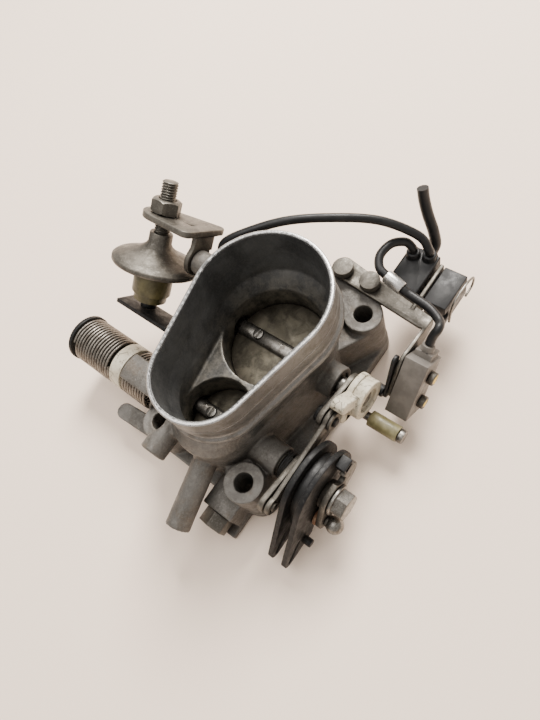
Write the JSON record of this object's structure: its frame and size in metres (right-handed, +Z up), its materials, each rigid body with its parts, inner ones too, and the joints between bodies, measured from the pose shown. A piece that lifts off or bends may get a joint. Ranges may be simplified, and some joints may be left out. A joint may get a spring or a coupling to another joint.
{
  "type": "throttle body",
  "caption": "Two-barrel throttle body with an egg-shaped intake collar, cable pulley, progressive link, damper, return springs, switches and leads.",
  "frame": {"origin": "on the mounting face, on the web between the two bores", "axes": "+Z up the bores towards the collar, +X towards the large barrel, -Y towards the cable linkage"},
  "size_m": [0.1911, 0.1732, 0.0865],
  "materials": {
    "cast_metal": "weathered grey-brown cast aluminium, rough, with warm stains and a bright machined lip",
    "shaft_steel": "worn satin steel",
    "black_steel": "black stamped steel, scuffed to grey at the edges",
    "zinc_steel": "dull olive-grey plated steel",
    "rusty_steel": "rust-stained washer",
    "plate_brass": "dull brass throttle plate with a dark deposit",
    "cream_plastic": "aged cream nylon, cracked and grimy",
    "olive_plastic": "aged translucent olive-yellow nylon",
    "black_plastic": "black moulded plastic",
    "grey_plastic": "dark grey-brown moulded switch casing",
    "black_rubber": "black cable sheath",
    "spring_steel": "dark spring wire with bright worn crests"
  },
  "bodies": {
    "body": {"housing": "cast_metal", "vacuum_port_plug": "zinc_steel", "primary_bush_link_side": "zinc_steel", "primary_bush_spring_side": "zinc_steel", "secondary_bush_link_side": "zinc_steel", "secondary_bush_spring_side": "zinc_steel", "link_spring": "black_steel", "inner_return_spring": "spring_steel", "outer_return_spring": "spring_steel", "spring_bush": "cream_plastic", "spring_drum": "black_steel", "damper_bracket": "zinc_steel", "damper_bracket_screw": "zinc_steel", "damper_locknut": "zinc_steel", "damper_can": "zinc_steel", "damper_sleeve": "olive_plastic", "switch_bracket": "zinc_steel", "switch_bracket_bolt_1": "zinc_steel", "switch_bracket_bolt_2": "zinc_steel", "full_load_switch": "grey_plastic", "full_load_switch_screw_1": "zinc_steel", "full_load_switch_screw_2": "zinc_steel", "idle_switch": "black_plastic", "connector_body": "black_plastic", "connector_socket": "black_plastic", "connector_clip": "shaft_steel", "full_load_lead": "black_rubber", "lead_ferrule": "shaft_steel", "idle_lead": "black_rubber", "cut_tail": "black_rubber"},
    "primary": {"primary_shaft": "shaft_steel", "primary_plate": "plate_brass", "primary_plate_screw_1": "shaft_steel", "primary_plate_screw_2": "shaft_steel", "pulley_rear_plate": "black_steel", "pulley_front_plate": "black_steel", "pulley_core": "black_plastic", "cable_end_pin": "black_steel", "throttle_lever": "zinc_steel", "ball_stud": "shaft_steel", "ball_stud_washer": "rusty_steel", "lever_stop_pad": "black_plastic", "shaft_nut": "shaft_steel", "primary_crank": "zinc_steel", "damper_lever": "black_steel"},
    "secondary": {"secondary_shaft": "shaft_steel", "secondary_plate": "plate_brass", "secondary_plate_screw_1": "shaft_steel", "secondary_plate_screw_2": "shaft_steel", "secondary_crank": "zinc_steel", "secondary_link_pin": "black_steel", "secondary_link_washer": "zinc_steel", "secondary_cam": "cream_plastic", "roller_pin": "shaft_steel"},
    "link": {"progressive_link": "zinc_steel"},
    "roller": {"roller_sleeve": "olive_plastic"},
    "plunger": {"damper_plunger": "black_plastic"},
    "full_load_lever": {"full_load_switch_lever": "black_plastic"},
    "full_load_wheel": {"full_load_switch_roller": "black_plastic"},
    "idle_lever": {"idle_switch_lever": "black_plastic"}
  },
  "joints": [
    {"name": "primary_throttle", "type": "hinge", "parent": "body", "child": "primary", "pos_m": [-0.0185, 0, 0.026], "axis": [0, 1, 0], "range_deg": [0, 80], "stiffness_Nm_per_rad": 0.05, "springref_deg": -22.92},
    {"name": "secondary_throttle", "type": "hinge", "parent": "body", "child": "secondary", "pos_m": [0.026, 0, 0.028], "axis": [0, 1, 0], "range_deg": [0, 80]},
    {"name": "link_swing", "type": "hinge", "parent": "primary", "child": "link", "pos_m": [-0.0365, -0.0437, 0.034], "axis": [0, 1, 0], "range_deg": [-80, 0]},
    {"name": "roller_spin", "type": "hinge", "parent": "secondary", "child": "roller", "pos_m": [0.0225, -0.06, 0.015], "axis": [0, 1, 0], "continuous": true},
    {"name": "damper_stroke", "type": "slide", "parent": "body", "child": "plunger", "axis": [-0.7408, 0, -0.6717], "range_m": [0, 0.0031]},
    {"name": "full_load_switch_arm", "type": "hinge", "parent": "body", "child": "full_load_lever", "pos_m": [0.0455, -0.0534, 0.0375], "axis": [0, 1, 0], "range_deg": [-5, 0]},
    {"name": "full_load_roller_spin", "type": "hinge", "parent": "full_load_lever", "child": "full_load_wheel", "pos_m": [0.0359, -0.05, 0.0181], "axis": [0, 1, 0], "continuous": true},
    {"name": "idle_switch_arm", "type": "hinge", "parent": "body", "child": "idle_lever", "pos_m": [0.0174, 0.0419, 0.048], "axis": [0, 1, 0], "range_deg": [-7, 0]}
  ],
  "couplings": [
    {"joint": "secondary_throttle", "follows": "primary_throttle", "ratio": 1},
    {"joint": "link_swing", "follows": "primary_throttle", "ratio": -1},
    {"joint": "damper_stroke", "follows": "primary_throttle", "m_per_rad": 0.002127},
    {"joint": "full_load_switch_arm", "follows": "primary_throttle", "ratio": -0.06},
    {"joint": "idle_switch_arm", "follows": "primary_throttle", "ratio": -0.08}
  ]
}
